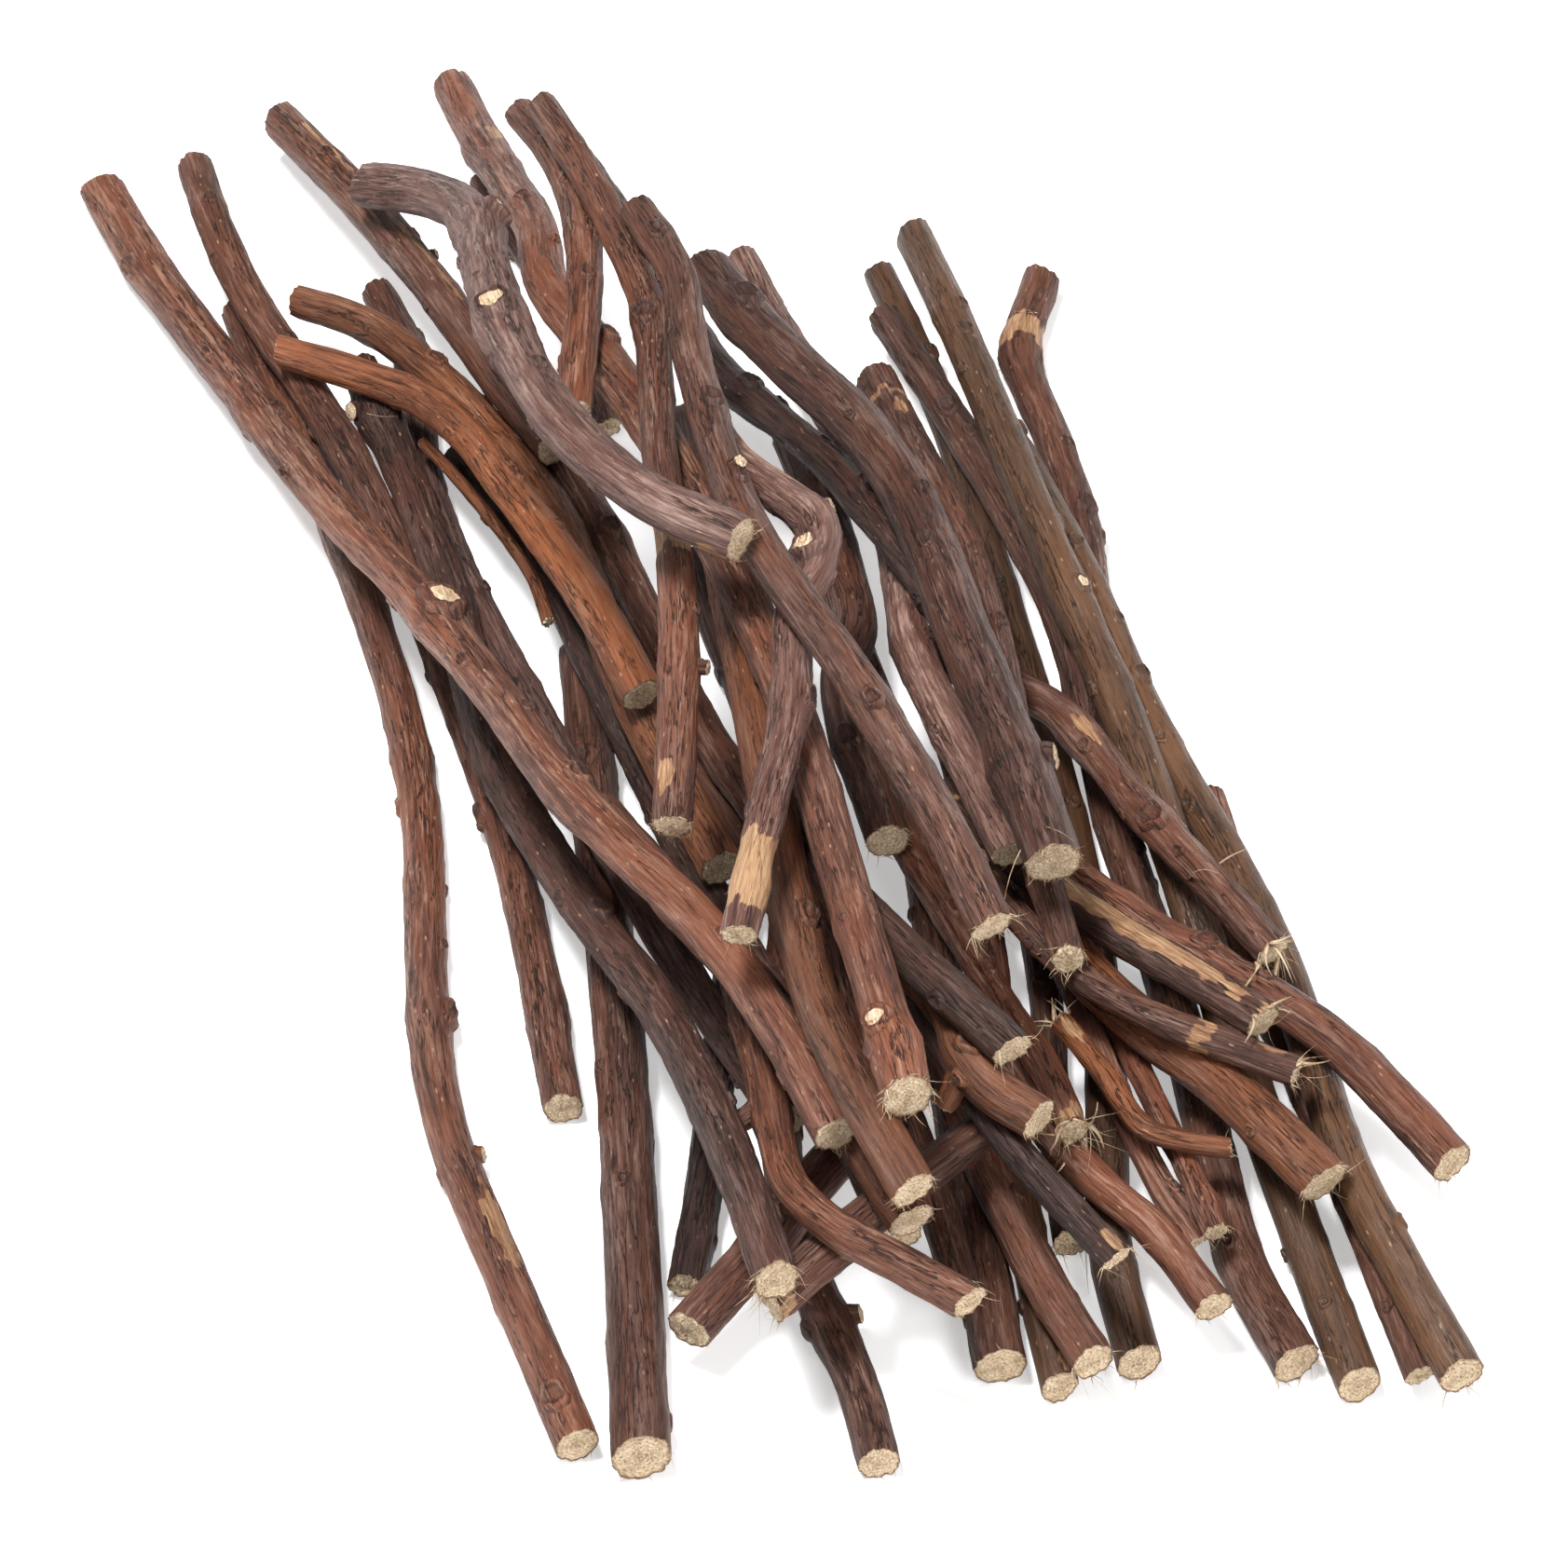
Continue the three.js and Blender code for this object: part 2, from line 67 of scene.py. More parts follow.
# What is on each twig. Places run from 0 at the far end to 1 at the near end, and directions are in
# degrees round the twig: 90 is up, 0 is right and 180 is left, seen along the twig from its near end.
# Heights, lengths and radii are in mm.
#   swell (place, height, length): a swollen ring where a shoot grew
#   knot (place, direction, radius, height): a raised scar with a dark sunken middle
#   cut (place, direction, radius, height): a knot sawn off, with bare wood in its middle
#   stub (place, direction, radius, length): a side shoot cut short
#   bare (place, direction, length, width in degrees): a patch where the bark has come off
#   ring (place, length): a band of bare wood all round
#   fibre (place, count, length): torn fibres, round the rim of an end or out of the bark
#   splinter (place, count, length): broad torn strips, in the same way
FEATURES = {
    1: dict(knot=[(0.17, 120, 2.6, 1.0)], swell=[(0.17, 0.5, 7), (0.62, 0.3, 6)], fibre=[(1, 20, 4)]),
    2: dict(swell=[(0.44, 0.6, 4), (0.24, 0.4, 5), (0.66, 0.6, 5)], stub=[(0.78, 15, 1.6, 1.6)],
            bare=[(0.84, 60, 24, 70)], knot=[(0.66, 20, 2.0, 1.1), (0.97, 110, 2.0, 0.9)],
            fibre=[(1, 10, 3)]),
    3: dict(swell=[(0.91, 0.5, 6), (0.35, 0.4, 5)], knot=[(0.72, 170, 2.0, 1.1)], fibre=[(1, 10, 3)]),
    4: dict(swell=[(0.6, 0.4, 5)], fibre=[(1, 12, 4)]),
    5: dict(stub=[(0.78, 15, 1.9, 3)], swell=[(0.78, 0.6, 6)], fibre=[(1, 14, 5)]),
    6: dict(knot=[(0.5, 80, 1.8, 0.6)], swell=[(0.5, 0.3, 6)]),
    7: dict(swell=[(0.7, 0.3, 5)], fibre=[(1, 6, 3)]),
    8: dict(swell=[(0.6, 0.3, 5)], bare=[(0.96, 60, 8, 50)]),
    9: dict(fibre=[(1, 26, 9)], knot=[(0.9, 70, 2.0, 0.8)]),
    10: dict(swell=[(0.75, 0.4, 5)], fibre=[(1, 24, 8)]),
    11: dict(swell=[(0.1, 0.4, 4), (0.55, 0.5, 5)], knot=[(0.1, 60, 1.6, 0.8)], fibre=[(1, 16, 5)]),
    12: dict(knot=[(0.12, 100, 1.8, 0.8), (0.55, 60, 1.6, 0.7)], swell=[(0.4, 0.4, 5)],
             fibre=[(1, 26, 7)]),
    13: dict(swell=[(0.8, 0.4, 5)], fibre=[(1, 10, 3)]),
    14: dict(swell=[(0.3, 0.4, 4), (0.7, 0.3, 4)]),
    15: dict(ring=[(0.065, 8)], stub=[(0.48, 10, 2.2, 2.5)], swell=[(0.075, 1.2, 6), (0.48, 0.8, 9)],
             fibre=[(0.05, 26, 3), (0.08, 20, 3), (1, 4, 3)], knot=[(0.24, 60, 1.7, 0.8)]),
    16: dict(knot=[(0.42, 60, 1.6, 0.7), (0.3, 80, 1.4, 0.5)], swell=[(0.2, 0.4, 5)],
             fibre=[(1, 22, 6)]),
    17: dict(cut=[(0.38, 60, 1.6, 0.6)], knot=[(0.13, 80, 1.3, 0.4), (0.6, 70, 1.2, 0.4)],
             swell=[(0.38, 0.4, 6)]),
    18: dict(bare=[(0.08, 80, 10, 60)], swell=[(0.12, 0.5, 6)], knot=[(0.6, 90, 1.8, 0.9)]),
    19: dict(swell=[(0.5, 0.3, 6), (0.3, 0.4, 5)], knot=[(0.3, 80, 1.6, 0.7)]),
    20: dict(swell=[(0.15, 0.4, 5), (0.7, 0.5, 6)], knot=[(0.7, 60, 1.9, 0.9)],
             fibre=[(1, 24, 4)]),
    21: dict(ring=[(0.985, 3)], swell=[(0.75, 0.5, 6)], fibre=[(1, 40, 5)]),
    22: dict(stub=[(0.06, 160, 2.0, 3), (0.43, 10, 1.8, 1.6)], swell=[(0.06, 1.2, 6), (0.43, 0.6, 6)],
             fibre=[(0.03, 5, 18), (0.07, 5, 22), (1, 44, 8)], knot=[(0.62, 70, 1.8, 0.9)]),
    24: dict(fibre=[(1, 20, 6)], bare=[(0.97, 80, 6, 60)]),
    25: dict(fibre=[(1, 50, 9)], splinter=[(1, 12, 11)], ring=[(0.975, 4)]),
    26: dict(swell=[(0.93, 0.6, 3)], fibre=[(1, 16, 3)]),
    27: dict(swell=[(0.93, 0.6, 3)], fibre=[(1, 16, 4)]),
    28: dict(bare=[(0.1, 90, 9, 80)], fibre=[(0, 16, 6), (1, 8, 3)], splinter=[(0, 4, 6)]),
    29: dict(swell=[(0.35, 0.4, 6)], bare=[(0.2, 60, 14, 40)], fibre=[(1, 26, 4)]),
    30: dict(ring=[(0.76, 4)], bare=[(0.93, 60, 9, 60)], splinter=[(1, 5, 6), (0.3, 3, 8)],
             fibre=[(1, 26, 6)], swell=[(0.76, 0.5, 4)]),
    31: dict(bare=[(0.55, 80, 86, 88)], splinter=[(1, 6, 6)], fibre=[(1, 14, 5)]),
    32: dict(swell=[(0.5, 0.9, 5)], knot=[(0.5, 70, 2.0, 1.0)], fibre=[(1, 40, 3)]),
    33: dict(bare=[(0.4, 95, 11, 50)], knot=[(0.66, 110, 2.2, 1.2)],
             swell=[(0.38, 0.7, 6), (0.66, 0.7, 6)],
             fibre=[(0.7, 8, 6), (1, 40, 9)], splinter=[(0.8, 3, 14), (1, 10, 12)]),
    34: dict(ring=[(0.06, 2.5)], bare=[(0.1, 80, 8, 40)], fibre=[(1, 34, 4)]),
    35: dict(swell=[(0.3, 0.5, 5), (0.6, 0.5, 5)], knot=[(0.3, 80, 1.8, 0.9)], fibre=[(1, 8, 3)]),
    36: dict(swell=[(0.45, 0.5, 5)], knot=[(0.45, 170, 1.5, 0.9), (0.2, 70, 1.6, 0.8)]),
    37: dict(swell=[(0.3, 0.4, 5)], knot=[(0.52, 60, 1.5, 0.7)]),
    38: dict(bare=[(0.42, 66, 70, 22), (0.16, 72, 30, 18)], stub=[(0.52, 20, 1.2, 1.2)]),
    39: dict(stub=[(0.45, 205, 2.0, 7)], swell=[(0.45, 0.6, 6)], fibre=[(1, 16, 3)]),
    40: dict(swell=[(0.96, 0.7, 3), (0.3, 0.5, 6)], fibre=[(1, 24, 3)]),
    41: dict(swell=[(0.08, 0.5, 5), (0.525, 0.9, 9), (0.71, 0.5, 6), (0.25, 0.4, 5)],
             knot=[(0.085, 150, 1.9, 1.0), (0.71, 60, 1.9, 0.9), (0.27, 60, 1.6, 0.7)],
             cut=[(0.525, 66, 3.4, 2.0)], fibre=[(1, 16, 4)]),
    42: dict(knot=[(0.76, 80, 2.0, 0.9)], stub=[(0.8, 225, 2.2, 6)], swell=[(0.78, 0.7, 7)],
             fibre=[(1, 18, 3)]),
    43: dict(knot=[(0.2, 80, 2.2, 1.2)], swell=[(0.2, 0.8, 7)], fibre=[(1, 16, 5)]),
    44: dict(knot=[(0.8, 110, 2.0, 1.1), (0.73, 40, 1.4, 0.6)], swell=[(0.8, 0.5, 5)],
             fibre=[(0.8, 8, 4), (1, 34, 3)]),
    45: dict(fibre=[(0, 10, 5), (1, 6, 3)], knot=[(0.6, 80, 1.8, 0.8)], swell=[(0.6, 0.4, 6)]),
    46: dict(knot=[(0.55, 70, 1.8, 0.8), (0.75, 60, 1.6, 0.8)],
             swell=[(0.55, 0.5, 6), (0.75, 0.4, 5)]),
    47: dict(knot=[(0.1, 80, 2.3, 1.0), (0.55, 110, 1.3, 0.5)], stub=[(0.87, 12, 2.6, 2.2)],
             swell=[(0.1, 0.6, 6), (0.87, 0.9, 7)], fibre=[(0.98, 2, 26), (1, 34, 4)]),
    48: dict(bare=[(0.45, 40, 7, 60)], swell=[(0.45, 0.4, 5)], ring=[(0.985, 2)]),
    49: dict(swell=[(0.3, 0.5, 6), (0.7, 0.6, 6)], knot=[(0.3, 80, 1.6, 0.8), (0.7, 60, 1.8, 0.8)],
             fibre=[(1, 30, 4)]),
    50: dict(bare=[(0.1, 60, 8, 50), (0.5, 62, 40, 8)],
             swell=[(0.1, 0.7, 5), (0.97, 0.7, 6), (0.4, 0.4, 6)],
             knot=[(0.4, 50, 1.8, 0.9)], cut=[(0.955, 120, 2.2, 1.2)], fibre=[(1, 50, 5)]),
    51: dict(knot=[(0.5, 60, 1.5, 0.8), (0.18, 100, 1.2, 0.5)], swell=[(0.5, 0.4, 4)]),
    52: dict(knot=[(0.62, 20, 1.8, 0.9)], cut=[(0.35, 125, 2.3, 2.4)], ring=[(0.91, 17)],
             stub=[(0.27, 20, 1.6, 1.2)], swell=[(0.27, 0.9, 7), (0.62, 0.6, 6), (0.93, 0.7, 4)],
             fibre=[(0.93, 12, 2), (1, 20, 3)], bare=[(0.12, 60, 30, 16)]),
    53: dict(knot=[(0.36, 110, 1.9, 1.2)], ring=[(0.66, 12)], stub=[(0.83, 8, 1.5, 2.5)],
             swell=[(0.36, 0.7, 5), (0.83, 0.4, 5), (0.63, 0.2, 3)], fibre=[(1, 50, 3)],
             bare=[(0.955, 120, 8, 60)]),
    54: dict(knot=[(0.05, 100, 1.5, 0.8), (0.31, 70, 1.7, 0.9), (0.75, 100, 1.5, 0.8)],
             stub=[(0.42, 60, 1.4, 1.6)], swell=[(0.05, 0.4, 4), (0.31, 0.5, 5), (0.75, 0.4, 5)],
             fibre=[(1, 40, 5)]),
    55: dict(knot=[(0.66, 70, 1.4, 0.5)], cut=[(0.27, 30, 2.4, 1.8), (0.54, 108, 2.9, 2.0)],
             swell=[(0.27, 0.7, 8), (0.54, 1.0, 9), (0.75, 0.3, 6)], fibre=[(1, 26, 3)],
             bare=[(0.98, 200, 5, 60)]),
}
BUD_GAPS = (16, 36)  # distance between the small buds that every twig has, least and most, in mm

# Barks: how rough the bark's surface is. ridges is the height of the long ridges in mm, flakes that
# of the peeling strips, and wander how much the outline swells and narrows as a share of the radius.
SURFACES = {
    "red_brown_bark": dict(ridges=0.11, flakes=0.06, wander=0.04),
    "orange_brown_bark": dict(ridges=0.1, flakes=0.05, wander=0.04),
    "brown_bark": dict(ridges=0.13, flakes=0.12, wander=0.045),
    "lilac_grey_bark": dict(ridges=0.12, flakes=0.34, wander=0.045),
    "olive_bark": dict(ridges=0.05, flakes=0.0, wander=0.03),
    "dark_bark": dict(ridges=0.17, flakes=0.16, wander=0.045),
}


# ---- The line and thickness of a packed twig ----

def twig_line(node):
    """Ring centres and radii of a packed twig, from its far end to its near end."""
    mesh = bmesh.new()
    mesh.from_mesh(node.data)
    bmesh.ops.remove_doubles(mesh, verts=mesh.verts, dist=1e-6)
    bmesh.ops.triangulate(mesh, faces=mesh.faces)
    caps = [v for v in mesh.verts if len(v.link_edges) == PACKED_SIDES and is_cap(v)]
    start = max(caps, key=lambda v: v.co.y)
    layers = [[start]]
    seen = {start}
    while len(seen) < len(mesh.verts):
        layer = []
        for vertex in layers[-1]:
            for edge in vertex.link_edges:
                other = edge.other_vert(vertex)
                if other not in seen:
                    seen.add(other)
                    layer.append(other)
        layers.append(layer)
    centres, radii = [], []
    for layer in layers[1:-1]:
        points = np.array([v.co for v in layer])
        centre = points.mean(axis=0)
        centres.append(centre)
        radii.append(np.linalg.norm(points - centre, axis=1).mean())
    mesh.free()
    return np.array(centres), np.array(radii)


def is_cap(vertex):
    """True for the middle of a sawn end: its neighbours form one ring of edges, close round it."""
    around = {edge.other_vert(vertex) for edge in vertex.link_edges}
    links = [sum(edge.other_vert(v) in around for edge in v.link_edges) for v in around]
    middle = sum((v.co for v in around), Vector()) / len(around)
    spread = max((v.co - middle).length for v in around)
    return links == [2] * PACKED_SIDES and (vertex.co - middle).length < spread / 2


def smooth_line(points, spacing):
    """Points spaced evenly along a smooth curve through the given ones, and how far along each is."""
    padded = np.vstack([2 * points[0] - points[1], points, 2 * points[-1] - points[-2]])
    fine = []
    share = np.linspace(0, 1, CURVE_STEPS, endpoint=False)[:, None]
    for i in range(1, len(padded) - 2):
        a, b, c, d = padded[i - 1:i + 3]
        fine.append(0.5 * (2 * b + (c - a) * share + (2 * a - 5 * b + 4 * c - d) * share ** 2
                           + (3 * b - a - 3 * c + d) * share ** 3))
    fine = np.vstack(fine + [points[-1:]])
    along = np.concatenate([[0], np.cumsum(np.linalg.norm(np.diff(fine, axis=0), axis=1))])
    count = max(int(along[-1] / spacing), 8)
    at = np.linspace(0, along[-1], count + 1)
    even = np.stack([np.interp(at, along, fine[:, k]) for k in range(3)], axis=1)
    return even, at


def unit(vectors):
    return vectors / np.linalg.norm(vectors, axis=-1, keepdims=True)


def side_frames(line):
    """For each point of a line: the way ahead, the way up, and the way right as seen looking back
    from the line's end, which on a twig is its near end."""
    ahead = unit(np.gradient(line, axis=0))
    left = unit(np.cross(ahead, (0, 0, 1)))
    up = np.cross(left, ahead)
    return ahead, up, -left


# ---- Small shapes of noise on a twig ----

def wave_noise(rng, places, longest, waves=5):
    """A smooth random wobble along a twig, mostly between -1 and 1. It has as many waves as waves
    says: the first is at least as long as longest, and the rest are shorter."""
    total = np.zeros_like(places)
    for i in range(1, waves + 1):
        turning = places / longest * 2 * np.pi * (i - rng.uniform(0, 0.7))
        total += np.sin(turning + rng.uniform(0, 2 * np.pi)) / i
    return total / 2


def angle_gap(angles, direction):
    return np.abs((angles - direction + np.pi) % (2 * np.pi) - np.pi)


def bump(distance):
    """1 at distance 0, falling smoothly to 0 at distance 1."""
    near = np.clip(1 - distance ** 2, 0, 1)
    return near * near


def bark_relief(rng, at, angles, radius, surface):
    """Height of the bark over the plain round twig, in metres, for each ring and angle: a wandering
    outline, long grooves and peeling strips."""
    places = at[:, None] + 0 * angles[None, :]
    turns = angles[None, :] + 0 * places
    twist = rng.uniform(-6, 6)
    wander = surface["wander"] * radius
    height = wander * wave_noise(rng, places, 0.12)
    height = height + 0.5 * wander * wave_noise(rng, places + turns * 0.004, 0.04)
    height = height + 0.6 * wander * np.cos(2 * turns + places * 14 + rng.uniform(0, 6))
    height = height + 0.3 * wander * np.cos(3 * turns - places * 22 + rng.uniform(0, 6))
    for count, share in ((5, 1.1), (9, 1.0), (13, 1.0), (19, 0.8)):
        drift = wave_noise(rng, places, 0.07) * 0.8 + places * twist
        fade = 0.5 + 0.5 * wave_noise(rng, places + turns * 0.01, 0.04)
        groove = 2 * np.abs(np.sin(count / 2 * (turns + drift) + rng.uniform(0, 6))) - 1
        height = height + surface["ridges"] * MM * share * fade * groove
    if surface["flakes"]:
        for _ in range(int(at[-1] / 0.012)):
            length = rng.uniform(0.012, 0.05)
            middle = rng.uniform(0, at[-1])
            edge = rng.uniform(0, 2 * np.pi) + 0.3 * wave_noise(rng, places, 0.03)
            edge = edge + 6 * (places - middle)
            width = rng.uniform(0.25, 0.6)
            across = ((turns - edge + np.pi) % (2 * np.pi) - np.pi) / width
            strip = np.where((across > 0) & (across < 1), 1 - across, 0)
            height = height + surface["flakes"] * MM * strip * bump((places - middle) / length)
    return height


def shape_features(at, angles, notes):
    """Height added by swellings and bare patches, and how bare each place is: 1 is bare wood, 0 is
    bark and below 0 is a crease darkened with painted shade."""
    length = at[-1]
    places = at[:, None] + 0 * angles[None, :]
    turns = angles[None, :] + 0 * places
    height = np.zeros_like(places)
    bare = np.zeros_like(places)
    for place, rise, reach in notes.get("swell", ()):
        lopsided = 1 + 0.45 * np.cos(turns - place * 40)
        height += rise * MM * lopsided * np.exp(-((places - place * length) / (reach * MM)) ** 2)
        slant = 0.5 * MM * np.cos(turns + place * 60)
        crease = np.exp(-((places - place * length - 1.2 * MM + slant) / (1.1 * MM)) ** 2)
        height -= 0.35 * rise * MM * crease
        # below 0, bare marks painted shade in the crease beside the swelling
        bare -= 0.5 * min(rise, 1) * crease * (1 + 0.8 * np.sin(turns * 2 + place * 90))
    for place, direction, reach, width in notes.get("bare", ()):
        side = angle_gap(turns, math.radians(direction)) / (math.radians(width) / 2)
        ragged = 0.16 * np.sin(places * 900) + 0.12 * np.sin(turns * 9 + places * 300)
        away = np.hypot(side, (places - place * length) / (reach * MM / 2)) + ragged
        inside = np.clip((1 - away) * 5, 0, 1)
        height -= 0.3 * MM * inside
        bare = np.maximum(bare, inside)
    for place, reach in notes.get("ring", ()):
        ragged = 0.9 * MM * (np.sin(turns * 3 + place * 50) + 0.6 * np.sin(turns * 7 + 1))
        beyond = np.abs(places - place * length + ragged) - reach * MM / 2
        inside = np.clip(-beyond / (0.6 * MM), 0, 1)
        height -= 0.3 * MM * inside
        bare = np.maximum(bare, inside)
    return height, bare


def small_buds(rng, length):
    """Places for the small bud scars that sit here and there along any twig, as knots."""
    buds = []
    place = rng.uniform(*BUD_GAPS) * MM
    while place < length - 8 * MM:
        direction, reach, rise = rng.uniform(0, 360), rng.uniform(0.8, 1.3), rng.uniform(0.3, 0.65)
        buds.append((place / length, direction, reach, rise))
        place += rng.uniform(*BUD_GAPS) * MM
    return buds


# ---- Meshes ----

class Shell:
    """Gathers the vertices, faces and per-vertex values of one twig."""

    def __init__(self):
        self.points, self.faces, self.kinds = [], [], []
        self.values = {"grain": [], "bare": [], "tone": []}
        self.count = 0

    def add(self, points, faces, kind, grain, bare, tone):
        """Adds a part. kind, bare and tone may be one value for all, or one for each."""
        self.points.append(np.asarray(points, dtype=float).reshape(-1, 3))
        self.faces.append(np.asarray(faces) + self.count)
        self.kinds.append(np.broadcast_to(kind, len(faces)))
        size = len(self.points[-1])
        self.values["grain"].append(np.asarray(grain, dtype=float).reshape(-1, 3))
        self.values["bare"].append(np.broadcast_to(np.asarray(bare, dtype=float).ravel(), size))
        self.values["tone"].append(np.broadcast_to(np.asarray(tone, dtype=float).ravel(), size))
        self.count += size

    def finish(self, name, materials):
        """Makes the object, with grain, bare and tone as attributes that the materials read."""
        points = np.vstack(self.points)
        points[:, 2] = np.maximum(points[:, 2], 0)  # nothing goes into the table
        faces = [tuple(int(i) for i in face if i >= 0) for block in self.faces for face in block]
        mesh = bpy.data.meshes.new(name)
        mesh.from_pydata(points.tolist(), [], faces)
        for key, kind in (("grain", "FLOAT_VECTOR"), ("bare", "FLOAT"), ("tone", "FLOAT")):
            layer = mesh.attributes.new(key, kind, "POINT")
            data = np.concatenate(self.values[key]).astype(np.float32)
            layer.data.foreach_set("vector" if kind == "FLOAT_VECTOR" else "value", data.ravel())
        for material in materials:
            mesh.materials.append(material)
        mesh.polygons.foreach_set("material_index", np.concatenate(self.kinds).astype(np.int32))
        mesh.polygons.foreach_set("use_smooth", np.ones(len(mesh.polygons), dtype=bool))
        mesh.update()
        piece = bpy.data.objects.new(name, mesh)
        bpy.context.scene.collection.objects.link(piece)
        return piece


BARK, WOOD = 0, 1  # the places of a twig's two materials
# the steepest rises left alone: side_frames can't follow a line that runs straight up
STUB_UPRIGHT, STRAND_UPRIGHT = 0.93, 0.97
NO_CORNER = -10 ** 9  # in place of a triangle's fourth corner; still negative after any shift


def tube_faces(rings, around):
    """Quads between rings of vertices, facing out where the rings turn the way add_tube's do."""
    ring = np.arange(rings - 1)[:, None] * around
    here = np.arange(around)[None, :]
    after = (here + 1) % around
    corners = [ring + here, ring + after, ring + around + after, ring + around + here]
    return np.stack(corners, axis=-1).reshape(-1, 4)


def disc_faces(rings, around):
    """Faces between rings of vertices that close in on one last vertex. A triangle is held as a quad
    whose last corner is a negative number."""
    last = (rings - 1) * around
    here = np.arange(around)
    fan = np.stack([last + here, last + (here + 1) % around, np.full(around, last + around),
                    np.full(around, NO_CORNER)], axis=1)
    return np.vstack([tube_faces(rings, around), fan])


def flip(faces):
    """Turns the faces of a disc over."""
    turned = faces[:, [0, 3, 2, 1]].copy()
    triangle = faces[:, 3] < 0
    turned[triangle] = faces[triangle][:, [0, 2, 1, 3]]
    return turned


def grain_place(radius, angles, along):
    """Where a point is in the bark's pattern, which is drawn out along the twig. In millimetres."""
    parts = np.broadcast_arrays(radius * np.cos(angles), radius * np.sin(angles),
                                along / GRAIN_STRETCH)
    return np.stack(parts, axis=-1) / MM


def add_tube(shell, line, heights, kind, grain_origin, bare, tone):
    """A tube along a line, open at both ends. heights says how far from the line its skin is, for
    each ring and angle."""
    rings, around = heights.shape
    ahead, up, right = side_frames(line)
    angles = np.linspace(0, 2 * np.pi, around, endpoint=False)
    turns = angles[None, :, None]
    out = right[:, None, :] * np.cos(turns) + up[:, None, :] * np.sin(turns)
    points = line[:, None, :] + out * heights[:, :, None]
    along = np.concatenate([[0], np.cumsum(np.linalg.norm(np.diff(line, axis=0), axis=1))])
    grain = grain_place(heights.mean(), angles[None, :], along[:, None]) + grain_origin
    shell.add(points, tube_faces(rings, around), kind, grain, bare, tone)
    return points, ahead


def add_sawn_end(shell, rim, centre, outward, rng, grain_origin, tone):
    """Closes a tube's end: rings of vertices from the rim to the middle, rough from the saw."""
    around = len(rim)
    shares = np.array(END_RINGS)
    radius = np.linalg.norm(rim - centre, axis=1).mean()
    angles = np.linspace(0, 2 * np.pi, around, endpoint=False)
    points, grain = [], []
    for i, share in enumerate(shares):
        rough = rng.normal(0, 0.11 * MM, around) * (i > 0)
        sunk = 0.22 * MM * (i == 1)
        crown = 0.3 * MM * (1 - share ** 2)
        points.append(centre + (rim - centre) * share + outward * (crown - sunk + rough)[:, None])
        grain.append(grain_place(radius * share, angles, 0))
    points.append(np.array([centre + outward * 0.15 * MM]))
    grain.append(np.zeros((1, 3)))
    faces = disc_faces(len(shares), around)
    if np.dot(np.cross(rim[1] - rim[0], rim[0] - centre), outward) > 0:
        faces = flip(faces)
    bare = np.concatenate([np.repeat(np.clip((1 - shares) * 7, 0, 1), around), [0.9]])
    # the pattern keeps its middle at the middle of the end, and differs only in depth
    grain_there = np.vstack(grain) + grain_origin * (0, 0, 1)
    shell.add(np.vstack(points), faces, WOOD, grain_there, bare, tone)


def add_knot(shell, rng, line, at, radius, knot, is_cut, grain_origin, tone):
    """A knot wrapped onto a twig: a raised collar round a sunken middle."""
    place, direction, reach, rise = knot
    around = 24 if reach > 1.35 else 16  # fewer vertices for the small buds
    shares = np.array(KNOT_RINGS)
    turns = np.linspace(0, 2 * np.pi, around, endpoint=False)
    uneven = 1 + 0.1 * np.sin(3 * turns + rng.uniform(0, 6))
    uneven = uneven + 0.07 * np.sin(5 * turns + rng.uniform(0, 6))
    share = np.concatenate([np.repeat(shares, around), [0]])
    turn = np.concatenate([np.tile(turns, len(shares)), [0]])
    out = share * reach * MM * np.concatenate([np.tile(uneven, len(shares)), [1]])
    spots = place * at[-1] + out * np.cos(turn) * 1.25
    collar = np.exp(-((share - 1.02) / 0.4) ** 2)
    middle = np.where(share < 0.9, 0.8 if is_cut else 0.3, 0)
    height = rise * MM * (np.maximum(collar, middle) + 0.07 * rng.normal(size=len(share)))
    height -= 0.55 * MM * np.clip((share - 1.4) / 0.7, 0, 1)
    ahead, up, right = side_frames(line)
    spots = np.clip(spots, 0, at[-1])
    local_radius = np.interp(spots, at, radius)
    angles = math.radians(direction) + out * np.sin(turn) / local_radius

    def along_line(vectors):
        return np.stack([np.interp(spots, at, vectors[:, k]) for k in range(3)], axis=1)

    turned = angles[:, None]
    away = unit(along_line(right) * np.cos(turned) + along_line(up) * np.sin(turned))
    points = along_line(line) + away * (local_radius + height)[:, None]
    # below 0, bare darkens the bark with painted shade in the creases inside and outside the collar;
    # a scar's sunken middle is darkened a little too
    crease = -0.9 * np.exp(-((share - 0.78) / 0.16) ** 2) - 0.6 * np.exp(-((share - 1.6) / 0.25) ** 2)
    bare = np.where(share < 0.74, 0.62, crease) if is_cut else np.where(share < 0.6, -0.35, crease)
    grain = grain_place(local_radius, angles, spots + 2.5 * out) + grain_origin
    faces = flip(disc_faces(len(shares), around))
    inside = share[np.where(faces < 0, 0, faces)].min(axis=1) < 0.6
    kinds = np.where(inside, WOOD, BARK) if is_cut else BARK
    shell.add(points, faces, kinds, grain, bare, tone)


